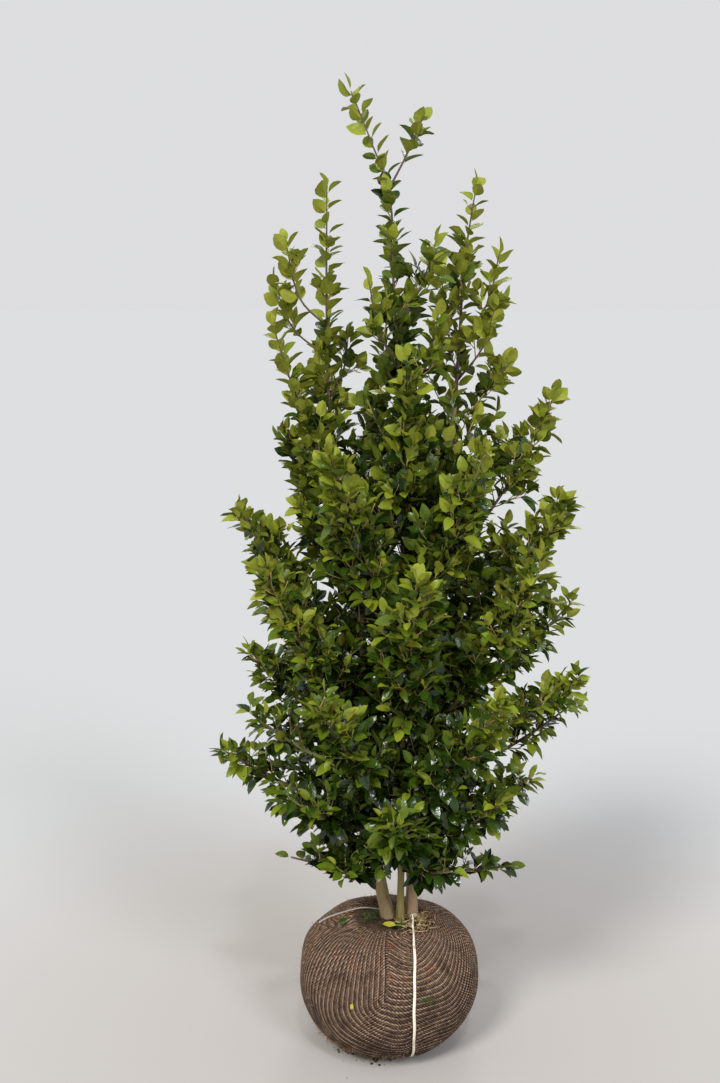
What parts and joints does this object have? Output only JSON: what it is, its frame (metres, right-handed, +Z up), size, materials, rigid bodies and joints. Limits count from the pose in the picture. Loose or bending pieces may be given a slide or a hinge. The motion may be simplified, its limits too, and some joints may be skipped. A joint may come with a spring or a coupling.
{
  "type": "holly tree",
  "caption": "Young leafy holly tree with slender upright stems from one root ball in a knitted jute net, branched and full from near the ball to pointed leading shoots.",
  "frame": {"origin": "middle of the root ball's flat underside, where the tree stands", "axes": "+Z up along the stems, -Y to the front where the ball's tie runs down, +X to the right as seen from the front"},
  "size_m": [0.8956, 0.7285, 2.173],
  "materials": {
    "net": "brown jute knit, matte, dusted with soil",
    "tie": "flat woven cream tie, matte",
    "bark": "smooth grey-brown bark, matte",
    "young_bark": "young brown-green bark, satin",
    "leaves_inner": "dark glossy green leaves on green-brown twigs",
    "leaves_mid": "mid-green leaves with pale undersides, satin",
    "leaves_young": "young yellow-green leaves, satin"
  },
  "bodies": {
    "root": {"root_ball": "net", "tie_strap": "tie", "stem_left": "bark", "stem_middle": "bark", "stem_right": "bark", "bough_left_3": "young_bark", "bough_left_4": "young_bark", "bough_left_5": "young_bark", "bough_left_6": "young_bark", "bough_right_3": "young_bark", "bough_right_4": "young_bark", "bough_right_5": "young_bark", "bough_right_6": "young_bark", "bough_right_7": "young_bark", "bough_right_8": "young_bark", "head_left": "leaves_young", "head_middle": "leaves_young", "head_right": "leaves_young", "mass_back_1": "leaves_inner", "mass_back_2": "leaves_inner", "mass_back_3": "leaves_inner", "mass_back_4": "leaves_inner", "mass_back_5": "leaves_inner", "mass_back_6": "leaves_mid", "mass_back_7": "leaves_mid", "mass_back_8": "leaves_mid", "mass_back_9": "leaves_mid", "mass_back_10": "leaves_mid", "mass_back_11": "leaves_mid", "mass_back_12": "leaves_mid", "mass_back_13": "leaves_young", "mass_front_1": "leaves_inner", "mass_front_2": "leaves_inner", "mass_front_3": "leaves_inner", "mass_front_4": "leaves_inner", "mass_front_5": "leaves_inner", "mass_front_6": "leaves_mid", "mass_front_7": "leaves_mid", "mass_front_8": "leaves_mid", "mass_front_9": "leaves_mid", "mass_front_10": "leaves_mid", "mass_front_11": "leaves_mid", "mass_front_12": "leaves_mid", "mass_front_13": "leaves_young", "mass_left_1": "leaves_inner", "mass_left_2": "leaves_inner", "mass_left_3": "leaves_inner", "mass_left_4": "leaves_mid", "mass_left_5": "leaves_mid", "mass_left_6": "leaves_mid", "mass_left_7": "leaves_mid", "mass_left_8": "leaves_young", "mass_right_1": "leaves_inner", "mass_right_2": "leaves_inner", "mass_right_3": "leaves_inner", "mass_right_4": "leaves_mid", "mass_right_5": "leaves_mid", "mass_right_6": "leaves_mid", "mass_right_7": "leaves_mid", "mass_right_8": "leaves_young"}
  },
  "joints": []
}
